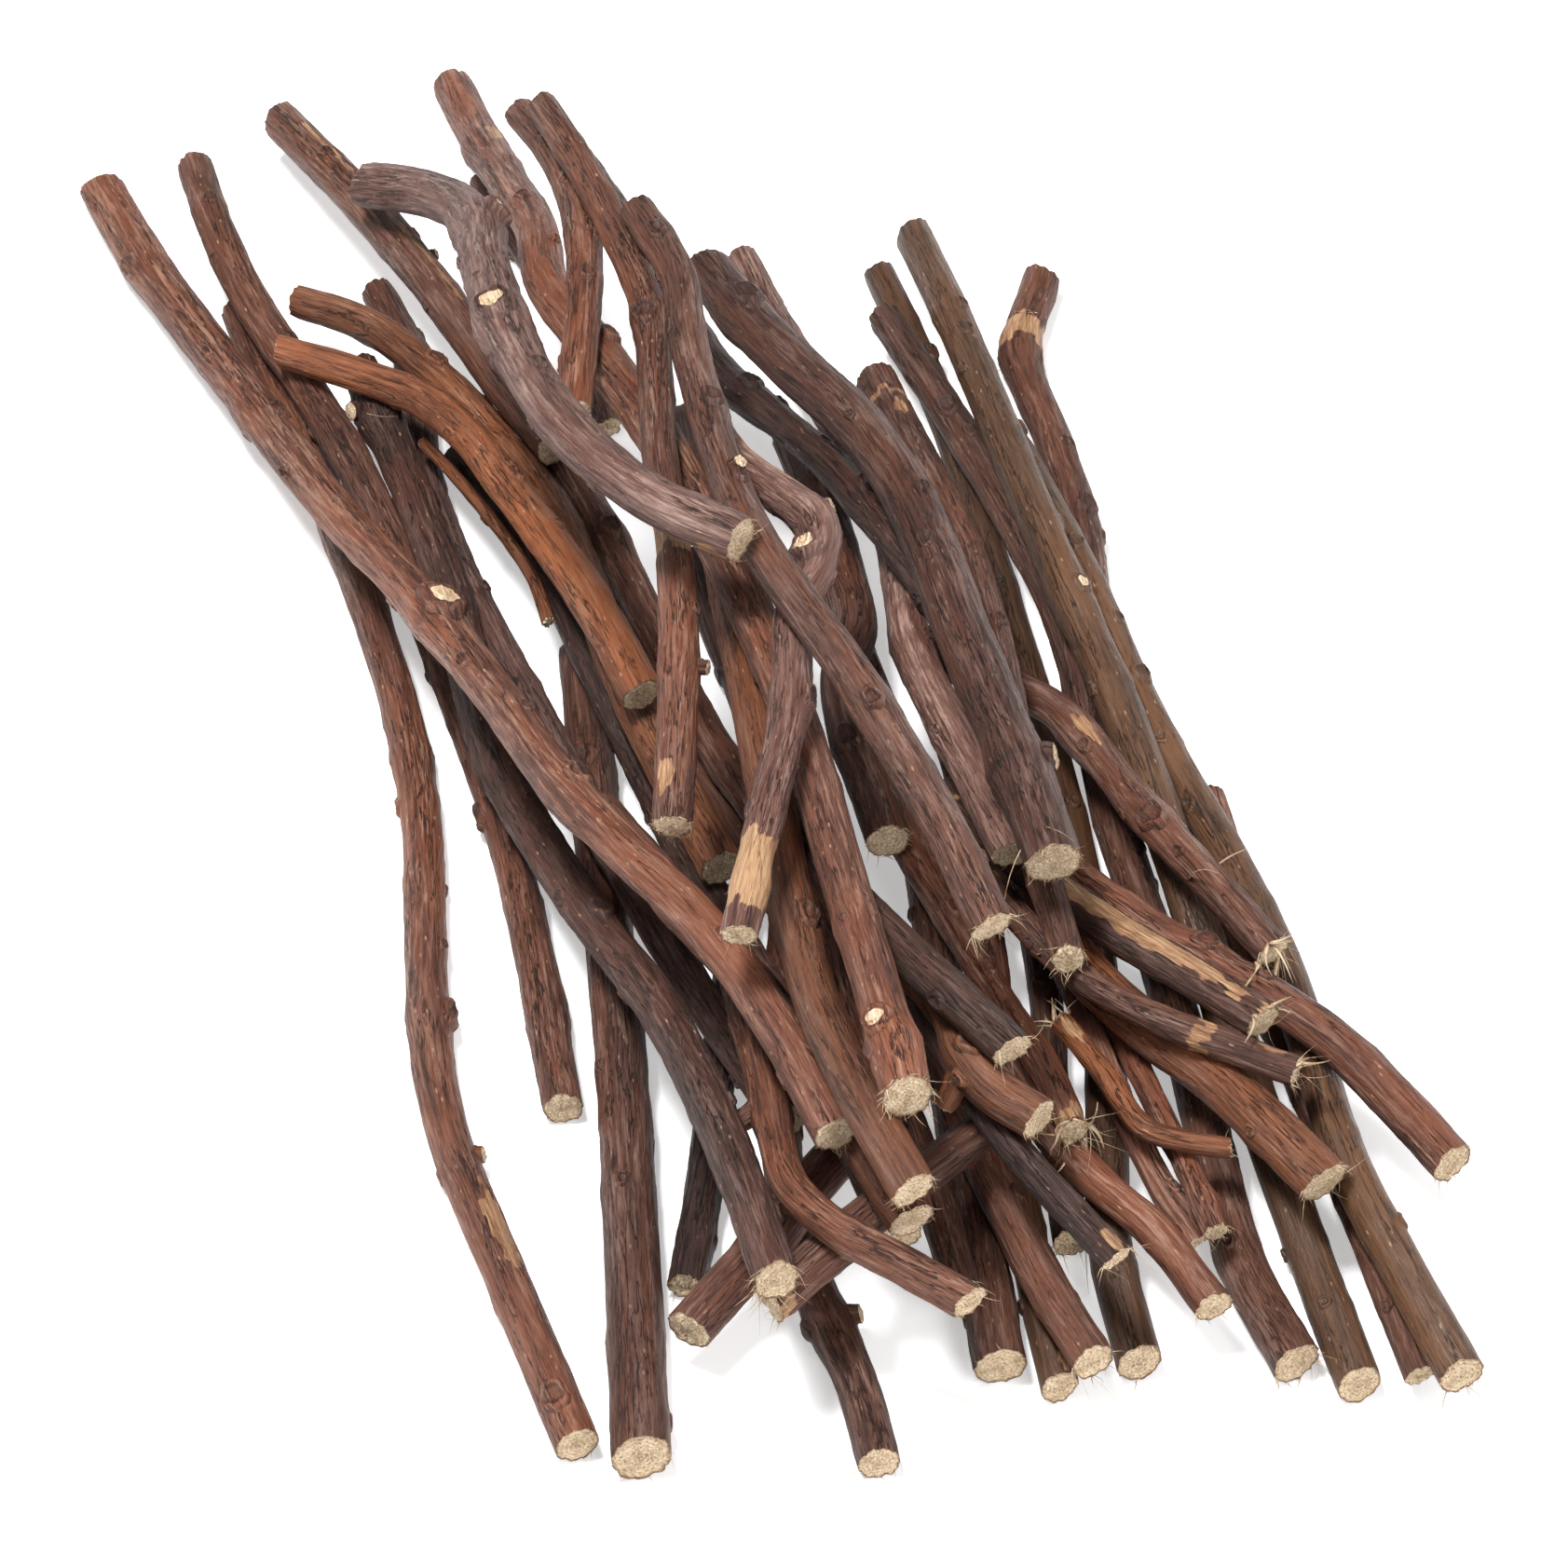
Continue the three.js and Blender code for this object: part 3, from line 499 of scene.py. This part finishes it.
def add_strand(shell, rng, start, way, length, width, thickness, tone):
    """A torn fibre or splinter: a thin bent strand that tapers."""
    bend = unit(rng.normal(size=3)) * rng.uniform(0.4, 1.3)
    curl = unit(rng.normal(size=3)) * rng.uniform(0, 0.6)
    shares = np.linspace(0, 1, STRAND_RINGS)[:, None]
    line = start + length * (way * shares + bend * shares ** 2 * 0.5 + curl * shares ** 3 * 0.5)
    line[:, 2] = np.maximum(line[:, 2], width)  # it lies on the table where it would go under
    taper = 1.02 - 0.9 * shares
    heights = taper * np.array([width, thickness, width, thickness])
    if np.abs(unit(np.diff(line, axis=0))[:, 2]).max() > STRAND_UPRIGHT:
        line[:, 0] += shares[:, 0] * length * 0.3
    add_tube(shell, line, heights, WOOD, rng.uniform(0, 50, 3), 0.6, tone)
    corners = np.arange(STRAND_SIDES)[None, :]
    shell.faces.append(shell.count - STRAND_RINGS * STRAND_SIDES + corners[:, ::-1])
    shell.faces.append(shell.count - STRAND_SIDES + corners)
    shell.kinds.append(np.full(2, WOOD))


def add_torn_strands(shell, rng, points, line, ahead, notes, tone):
    """Torn fibres and splinters round the ends of a twig and out of its bark."""
    for key, widths in (("fibre", (0.06, 0.13)), ("splinter", (0.3, 0.7))):
        for place, count, length in notes.get(key, ()):
            ring = int(round(place * (len(line) - 1)))
            onward = ahead[ring] * (-1 if place == 0 else 1)
            for _ in range(count):
                corner = points[ring, rng.integers(AROUND)]
                away = unit(corner - line[ring])
                round_rim = np.cross(onward, away)
                way = unit(onward * rng.uniform(0.2, 1) + away * rng.uniform(-0.2, 0.7)
                           + round_rim * rng.uniform(-0.8, 0.8))
                start = corner * 0.95 + line[ring] * 0.05 - onward * 0.3 * MM
                reach = length * MM * rng.uniform(0.25, 1) ** 1.5
                width = rng.uniform(*widths) * MM
                add_strand(shell, rng, start, way, reach, width, min(width, 0.16 * MM), tone)


def add_stub(shell, rng, base, way, radius, length, grain_origin, tone):
    """A side shoot cut short: a stout little tube with a sawn end and a closed foot in the twig."""
    shares = np.linspace(0, 1, STUB_RINGS)
    if abs(way[2]) > STUB_UPRIGHT:
        way = unit(way + np.array([0.35, 0, 0]))
    line = base + way * (shares[:, None] * (length + radius) - radius)
    flare = 1 + 0.7 * np.exp(-(shares * (length + radius) / radius) ** 1.3)
    heights = radius * flare[:, None] * (1 + 0.05 * rng.normal(size=(STUB_RINGS, STUB_AROUND)))
    # bare of -0.15 darkens the whole stub a little with painted shade
    points, ahead = add_tube(shell, line, heights, BARK, grain_origin, -0.15, tone)
    foot = shell.count - STUB_RINGS * STUB_AROUND + np.arange(STUB_AROUND)
    add_sawn_end(shell, points[-1], line[-1], ahead[-1], rng, grain_origin, tone)
    shell.faces.append(foot[None, ::-1])
    shell.kinds.append(np.full(1, BARK))


def make_twig(number, node, slot, materials):
    """The finely meshed twig that stands in for a packed one."""
    rng = np.random.default_rng(number)
    surface = SURFACES[slot]
    notes = FEATURES.get(number, {})
    centres, radii = twig_line(node)
    line, at = smooth_line(centres, STEP)
    radius = np.interp(np.linspace(0, 1, len(line)), np.linspace(0, 1, len(radii)), radii)
    angles = np.linspace(0, 2 * np.pi, AROUND, endpoint=False)
    buds = small_buds(rng, at[-1])
    swells = list(notes.get("swell", ())) + [(bud[0], 0.22, 2.5) for bud in buds]
    relief = bark_relief(rng, at, angles, radius.mean(), surface)
    features, bare = shape_features(at, angles, {**notes, "swell": swells})
    heights = radius[:, None] + relief * (1 - 0.6 * np.clip(bare, 0, 1)) + features
    heights[0] *= 0.95 + 0.02 * rng.normal(size=AROUND)
    heights[-1] *= 0.98 + 0.02 * rng.normal(size=AROUND)
    tone = rng.uniform(0, 1)
    grain_origin = rng.uniform(20, 400, 3)
    shell = Shell()
    points, ahead = add_tube(shell, line, heights, BARK, grain_origin, bare, tone)
    points = shell.points[0].reshape(points.shape)  # the shell's own, since the saw moves them
    for ring, side in ((0, -1), (-1, 1)):
        # the saw went through at a slight slant, and chipped the rim
        outward = unit(side * ahead[ring] + rng.normal(0, 0.12, 3))
        slide = (points[ring] - line[ring]) @ outward / (ahead[ring] @ outward)
        chips = 0.3 * MM * np.sin(3 * angles + rng.uniform(0, 6))
        chips = chips * np.sin(7 * angles + rng.uniform(0, 6))
        points[ring] -= ahead[ring] * (slide + chips)[:, None]
        add_sawn_end(shell, points[ring], line[ring], outward, rng, grain_origin, tone)
    scars, cuts = notes.get("knot", ()), notes.get("cut", ())
    for knots, is_cut in ((scars, False), (cuts, True), (buds, False)):
        for knot in knots:
            add_knot(shell, rng, line, at, heights.mean(axis=1), knot, is_cut, grain_origin, tone)
    _, up, right = side_frames(line)
    for place, direction, width, length in notes.get("stub", ()):
        ring = int(place * (len(line) - 1))
        turn = math.radians(direction)
        way = right[ring] * math.cos(turn) + up[ring] * math.sin(turn)
        base = line[ring] + way * radius[ring] * 0.9
        lean = unit(way + ahead[ring] * 0.3)
        add_stub(shell, rng, base, lean, width * MM, length * MM, grain_origin, tone)
    add_torn_strands(shell, rng, points, line, ahead, notes, tone)
    return shell.finish("bark_" + node.name, materials)


# ---- Materials ----

class Painter:
    """Short calls for the nodes that the twigs' materials share."""

    def __init__(self, name):
        self.material = bpy.data.materials.new(name)
        self.material.use_nodes = True
        self.nodes = self.material.node_tree.nodes
        self.links = self.material.node_tree.links
        self.shader = self.nodes["Principled BSDF"]

    def attribute(self, name, output):
        node = self.nodes.new("ShaderNodeAttribute")
        node.attribute_name = name
        return node.outputs[output]

    def noise(self, vector, scale, detail=4, roughness=0.6, distortion=0):
        node = self.nodes.new("ShaderNodeTexNoise")
        self.links.new(vector, node.inputs["Vector"])
        node.inputs["Scale"].default_value = scale
        node.inputs["Detail"].default_value = detail
        node.inputs["Roughness"].default_value = roughness
        node.inputs["Distortion"].default_value = distortion
        return node.outputs["Fac"]

    def dots(self, vector, scale):
        node = self.nodes.new("ShaderNodeTexVoronoi")
        self.links.new(vector, node.inputs["Vector"])
        node.inputs["Scale"].default_value = scale
        return node.outputs["Distance"]

    def rings(self, vector, scale):
        node = self.nodes.new("ShaderNodeTexWave")
        node.wave_type = "RINGS"
        node.rings_direction = "Z"
        self.links.new(vector, node.inputs["Vector"])
        node.inputs["Scale"].default_value = scale
        node.inputs["Distortion"].default_value = 1.5
        return node.outputs["Fac"]

    def stretch(self, vector, scale):
        node = self.nodes.new("ShaderNodeMapping")
        self.links.new(vector, node.inputs["Vector"])
        node.inputs["Scale"].default_value = scale
        return node.outputs["Vector"]

    def math(self, operation, first, second):
        node = self.nodes.new("ShaderNodeMath")
        node.operation = operation
        for socket, value in zip(node.inputs, (first, second)):
            if isinstance(value, (int, float)):
                socket.default_value = value
            else:
                self.links.new(value, socket)
        return node.outputs[0]

    def between(self, value, low, high, low_out=0.0, high_out=1.0):
        node = self.nodes.new("ShaderNodeMapRange")
        self.links.new(value, node.inputs["Value"])
        node.inputs["From Min"].default_value = low
        node.inputs["From Max"].default_value = high
        node.inputs["To Min"].default_value = low_out
        node.inputs["To Max"].default_value = high_out
        return node.outputs["Result"]

    def mix(self, share, first, second, blend="MIX"):
        node = self.nodes.new("ShaderNodeMix")
        node.data_type = "RGBA"
        node.blend_type = blend
        # inputs 0, 6 and 7 are the share and the two colours
        for place, value in ((0, share), (6, first), (7, second)):
            socket = node.inputs[place]
            if isinstance(value, (int, float)):
                socket.default_value = value
            elif isinstance(value, tuple):
                socket.default_value = (*value, 1)
            else:
                self.links.new(value, socket)
        return node.outputs[2]

    def colors(self, value, stops):
        node = self.nodes.new("ShaderNodeValToRGB")
        points = node.color_ramp.elements
        while len(points) < len(stops):
            points.new(0.5)
        for point, (place, color) in zip(points, stops):
            point.position = place
            point.color = (*color, 1)
        self.links.new(value, node.inputs["Fac"])
        return node.outputs["Color"]

    def finish(self, color, height, depth, rough):
        node = self.nodes.new("ShaderNodeBump")
        node.inputs["Strength"].default_value = 1.0
        node.inputs["Distance"].default_value = depth
        self.links.new(height, node.inputs["Height"])
        self.links.new(node.outputs["Normal"], self.shader.inputs["Normal"])
        self.links.new(color, self.shader.inputs["Base Color"])
        self.links.new(rough, self.shader.inputs["Roughness"])
        return self.material


BUMP_SCALE = 4.2 * MM  # height of a bump of depth 1
PORE = (0.42, 0.29, 0.2)

# Looks of each bark. Colours: groove, the dark of grooves, cracks and creases, partly the bark's own
# and partly painted shade; body; the pale colour of worn ridge tops, partly wear and partly painted
# highlight;
# and patch, a second body colour in long patches. depth is the height of the bump, and the share of
# the ridge tops how much of them is paled.
BARKS = {
    "red_brown_bark": dict(
        groove=(0.011, 0.004, 0.003), body=(0.092, 0.037, 0.024), worn_and_highlight=(0.34, 0.228, 0.182),
        patch=(0.16, 0.054, 0.024), depth=0.25, rough=0.46, worn_and_highlight_share=0.65),
    "orange_brown_bark": dict(
        groove=(0.018, 0.007, 0.003), body=(0.145, 0.052, 0.022), worn_and_highlight=(0.4, 0.23, 0.15),
        patch=(0.25, 0.083, 0.026), depth=0.22, rough=0.44, worn_and_highlight_share=0.5),
    "brown_bark": dict(
        groove=(0.009, 0.004, 0.003), body=(0.069, 0.029, 0.019), worn_and_highlight=(0.29, 0.19, 0.155),
        patch=(0.115, 0.042, 0.021), depth=0.27, rough=0.48, worn_and_highlight_share=0.6),
    "lilac_grey_bark": dict(
        groove=(0.018, 0.009, 0.007), body=(0.15, 0.08, 0.065), worn_and_highlight=(0.45, 0.33, 0.29),
        patch=(0.12, 0.05, 0.036), depth=0.29, rough=0.52, worn_and_highlight_share=0.75),
    "olive_bark": dict(
        groove=(0.015, 0.008, 0.004), body=(0.087, 0.044, 0.023), worn_and_highlight=(0.25, 0.165, 0.105),
        patch=(0.14, 0.065, 0.029), depth=0.14, rough=0.38, worn_and_highlight_share=0.4),
    "dark_bark": dict(
        groove=(0.005, 0.003, 0.002), body=(0.034, 0.016, 0.012), worn_and_highlight=(0.2, 0.14, 0.125),
        patch=(0.07, 0.024, 0.015), depth=0.28, rough=0.44, worn_and_highlight_share=0.5),
}
# Tints from the darkest twig to the lightest, then wood under lost bark, then sawn and torn wood
SHADE_LOW, SHADE_MIDDLE, SHADE_HIGH = (0.44, 0.37, 0.36), (0.78, 0.7, 0.66), (1.15, 0.94, 0.8)
BARE_LOW, BARE_MIDDLE, BARE_HIGH = (0.16, 0.07, 0.033), (0.3, 0.155, 0.075), (0.45, 0.27, 0.145)
WOOD_PORE, WOOD_DARK = (0.24, 0.14, 0.07), (0.62, 0.43, 0.26)
WOOD_BODY, WOOD_PALE = (0.86, 0.67, 0.45), (0.96, 0.82, 0.63)
WOOD_BLOTCH, WOOD_RING, WOOD_RIM = (0.42, 0.27, 0.14), (0.3, 0.18, 0.09), (0.16, 0.075, 0.035)


def bark_material(slot, look):
    """Bark drawn along the twig: ridges with tops paled as wear and as a painted highlight, cracks
    and grooves darkened by their own colour and by painted shade, patches, pores, and bare wood.
    """
    paint = Painter(slot)
    grain = paint.attribute("grain", "Vector")
    tone = paint.attribute("tone", "Fac")
    bare = paint.attribute("bare", "Fac")
    fine = paint.noise(grain, 1.4, detail=5, roughness=0.7, distortion=0.5)
    coarse = paint.noise(grain, 0.38, detail=3, roughness=0.55, distortion=0.6)
    wrinkles = paint.noise(paint.stretch(grain, (1, 1, 0.4)), 1.35, detail=2, distortion=0.7)
    cracks = paint.noise(paint.stretch(grain, (1, 1, 0.7)), 0.85, detail=3, distortion=0.3)
    patches = paint.noise(paint.stretch(grain, (0.5, 0.5, 1.2)), 0.12, detail=3, roughness=0.55)
    streaks = paint.noise(paint.stretch(grain, (0.9, 0.9, 0.25)), 0.55, detail=3)
    ridges = paint.math("ADD", paint.math("MULTIPLY", fine, 0.45),
                        paint.math("MULTIPLY", coarse, 0.25))
    ridges = paint.math("ADD", ridges, paint.math("MULTIPLY", wrinkles, 0.3))
    # a crack runs where the noise crosses its middle value
    crack_gap = paint.math("ABSOLUTE", paint.math("SUBTRACT", cracks, 0.5), 0)
    crack_area = paint.between(paint.noise(grain, 0.22, detail=2), 0.42, 0.56)
    crack = paint.math("MULTIPLY", paint.between(crack_gap, 0.028, 0.006), crack_area)

    body = paint.mix(paint.between(patches, 0.45, 0.62), look["body"], look["patch"])
    body = paint.mix(paint.between(streaks, 0.5, 0.64, 0, 0.6), body, look["patch"])
    # the ridge tops are paled: partly wear, partly a painted highlight where light would catch them
    worn_and_highlight = paint.math("MULTIPLY", paint.between(ridges, 0.49, 0.59), look["worn_and_highlight_share"])
    worn_and_highlight_area = paint.between(paint.noise(grain, 0.16, detail=2), 0.38, 0.6, 0.3, 1)
    color = paint.mix(paint.math("MULTIPLY", worn_and_highlight, worn_and_highlight_area), body, look["worn_and_highlight"])
    # the low places of the ridges and the cracks take the groove colour: the bark's own darker
    # furrows, deepened with painted shade in the hollows
    color = paint.mix(paint.between(ridges, 0.47, 0.4, 0, 0.6), color, look["groove"])
    color = paint.mix(paint.math("MULTIPLY", crack, 0.9), color, look["groove"])
    # small pale pores and nicks
    dots = paint.dots(paint.stretch(grain, (1, 1, 3.5)), 0.6)
    keep = paint.between(paint.noise(grain, 1.3, detail=1), 0.5, 0.56)
    nicks = paint.math("MULTIPLY", paint.between(dots, 0.17, 0.08), keep)
    color = paint.mix(paint.math("MULTIPLY", nicks, 0.65), color, PORE)
    # each twig is a little lighter or darker, warmer or cooler than the next
    shades = paint.colors(tone, [(0, SHADE_LOW), (0.5, SHADE_MIDDLE), (1, SHADE_HIGH)])
    color = paint.mix(0.85, color, shades, "MULTIPLY")
    # painted shade in the creases, and wood where the bark has come off
    color = paint.mix(paint.between(bare, -0.1, -0.9, 0, 0.8), color, look["groove"])
    wood_grain = paint.math("ADD", paint.math("MULTIPLY", fine, 0.65),
                            paint.math("MULTIPLY", patches, 0.35))
    wood = paint.colors(wood_grain, [(0.4, BARE_LOW), (0.5, BARE_MIDDLE), (0.6, BARE_HIGH)])
    ragged = paint.math("ADD", bare, paint.math("MULTIPLY", paint.math("SUBTRACT", fine, 0.5), 1.2))
    color = paint.mix(paint.between(ragged, 0.4, 0.6), color, wood)

    height = paint.math("ADD", ridges, paint.math("MULTIPLY", paint.noise(grain, 3.2, detail=3), 0.2))
    height = paint.math("SUBTRACT", height, paint.math("MULTIPLY", crack, 0.3))
    rough = paint.between(ridges, 0.38, 0.62, look["rough"] + 0.16, look["rough"] - 0.04)
    paint.shader.inputs["Specular IOR Level"].default_value = 0.36
    return paint.finish(color, height, look["depth"] * BUMP_SCALE, rough)


def wood_material():
    """Sawn and torn wood: pale straw with dark pores and faint rings, browner at the rim."""
    paint = Painter("cut_wood")
    grain = paint.attribute("grain", "Vector")
    bare = paint.attribute("bare", "Fac")
    stipple = paint.noise(grain, 2.2, detail=4, roughness=0.75)
    blotch = paint.noise(grain, 0.4, detail=2)
    color = paint.colors(stipple, [(0.36, WOOD_PORE), (0.43, WOOD_DARK), (0.5, WOOD_BODY),
                                   (0.64, WOOD_PALE)])
    color = paint.mix(paint.between(blotch, 0.46, 0.68, 0, 0.5), color, WOOD_BLOTCH)
    rings = paint.rings(grain, 0.35)
    color = paint.mix(paint.between(rings, 0.62, 0.95, 0, 0.3), color, WOOD_RING)
    color = paint.mix(paint.between(bare, 0.75, 0.1, 0, 0.9), color, WOOD_RIM)
    paint.shader.inputs["Specular IOR Level"].default_value = 0.25
    rough = paint.between(stipple, 0.3, 0.7, 0.9, 0.75)
    return paint.finish(color, stipple, 0.7 * MM, rough)


# ---- The set: floor, lights and camera ----

def make_floor():
    # a hair under the table's height, so that it shares no plane with a mesh that rests there
    bpy.ops.mesh.primitive_plane_add(size=30, location=(0, 0, -0.05 * MM))
    floor = bpy.context.object
    floor.name = "floor"
    material = bpy.data.materials.new("floor")
    material.use_nodes = True
    shader = material.node_tree.nodes["Principled BSDF"]
    shader.inputs["Base Color"].default_value = (0.85, 0.85, 0.85, 1)
    shader.inputs["Roughness"].default_value = 0.9
    # the floor glows a little, like a light box: it stays white where the pile shades it, and lights
    # the twigs from below
    shader.inputs["Emission Color"].default_value = (1, 1, 1, 1)
    shader.inputs["Emission Strength"].default_value = 0.42
    floor.data.materials.append(material)


def make_light(name, place, size, power):
    data = bpy.data.lights.new(name, "AREA")
    data.size = size
    data.energy = power
    lamp = bpy.data.objects.new(name, data)
    lamp.location = place
    lamp.rotation_euler = (AIM - Vector(place)).to_track_quat("-Z", "Y").to_euler()
    bpy.context.scene.collection.objects.link(lamp)


def make_lights():
    world = bpy.data.worlds.new("studio")
    bpy.context.scene.world = world
    world.use_nodes = True
    nodes, links = world.node_tree.nodes, world.node_tree.links
    # as pale as the floor at the horizon, and dimmer overhead
    direction = nodes.new("ShaderNodeTexCoord").outputs["Generated"]
    split = nodes.new("ShaderNodeSeparateXYZ")
    links.new(direction, split.inputs["Vector"])
    strength = nodes.new("ShaderNodeMapRange")
    links.new(split.outputs["Z"], strength.inputs["Value"])
    strength.inputs["From Max"].default_value = 0.3
    strength.inputs["To Min"].default_value = 0.83
    strength.inputs["To Max"].default_value = 0.38
    background = nodes["Background"]
    background.inputs["Color"].default_value = (1, 1, 1, 1)
    links.new(strength.outputs["Result"], background.inputs["Strength"])
    make_light("key", (-0.3, 0.1, 1.2), 0.28, 22)
    make_light("fill", (0.3, -1.1, 0.8), 0.6, 10)


def make_camera():
    data = bpy.data.cameras.new("camera")
    data.lens = LENS
    data.clip_start = 0.05
    camera = bpy.data.objects.new("camera", data)
    bpy.context.scene.collection.objects.link(camera)
    level = math.cos(LOOK_DOWN)
    look = Vector((-math.sin(LOOK_ALONG) * level, math.cos(LOOK_ALONG) * level, -math.sin(LOOK_DOWN)))
    camera.location = AIM - look * CAMERA_DISTANCE
    camera.rotation_euler = look.to_track_quat("-Z", "Y").to_euler()
    bpy.context.scene.camera = camera


# ---- The pile ----

make_floor()
make_lights()
make_camera()
bpy.context.scene.view_settings.view_transform = "Standard"

cut_wood = wood_material()
barks = {slot: bark_material(slot, look) for slot, look in BARKS.items()}
for subpart in frame["record"]["subparts"]:
    name, slot = subpart["node"], subpart["material_slot"]
    twig = make_twig(int(name.split("_")[1]), frame["nodes"][name], slot, [barks[slot], cut_wood])
    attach(twig, "root")
    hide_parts(name)
